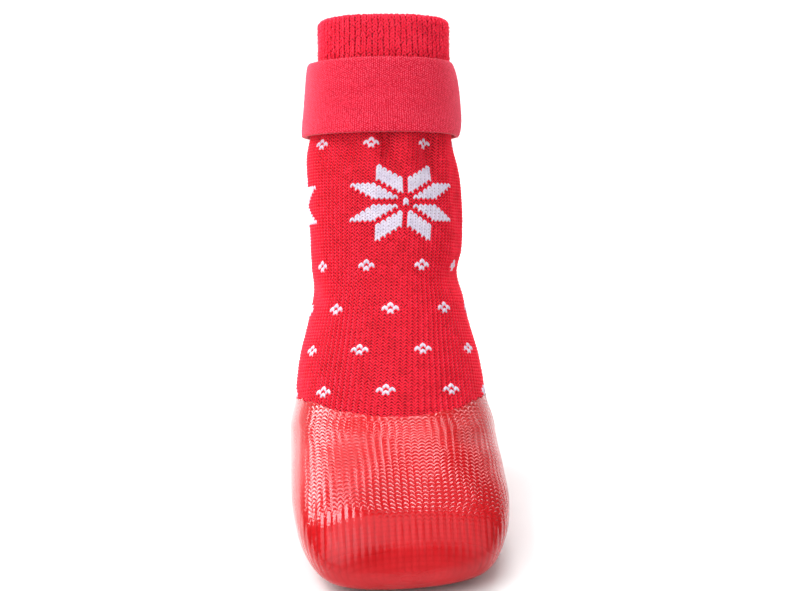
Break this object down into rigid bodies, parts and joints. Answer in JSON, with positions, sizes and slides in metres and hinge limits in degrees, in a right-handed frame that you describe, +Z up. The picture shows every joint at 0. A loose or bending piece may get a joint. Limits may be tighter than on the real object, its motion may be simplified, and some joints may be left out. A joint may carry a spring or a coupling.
{
  "type": "dog sock",
  "caption": "Knitted dog sock with a ribbed cuff, a star pattern, a rubber-dipped foot that is its sole, and a hook-and-loop ankle strap.",
  "frame": {"origin": "on the floor, under the middle of the whole sock's box", "axes": "+Z up, -Y towards the toe, X across the sock"},
  "size_m": [0.0544, 0.118, 0.1259],
  "materials": {
    "knit": "matte acrylic knit, stocking stitch with white motifs",
    "rubber": "glossy dipped rubber, knit showing through",
    "strap": "brushed loop pile"
  },
  "bodies": {
    "root": {"knit_upper": "knit", "rubber_sole": "rubber", "ankle_strap": "strap"}
  },
  "joints": []
}
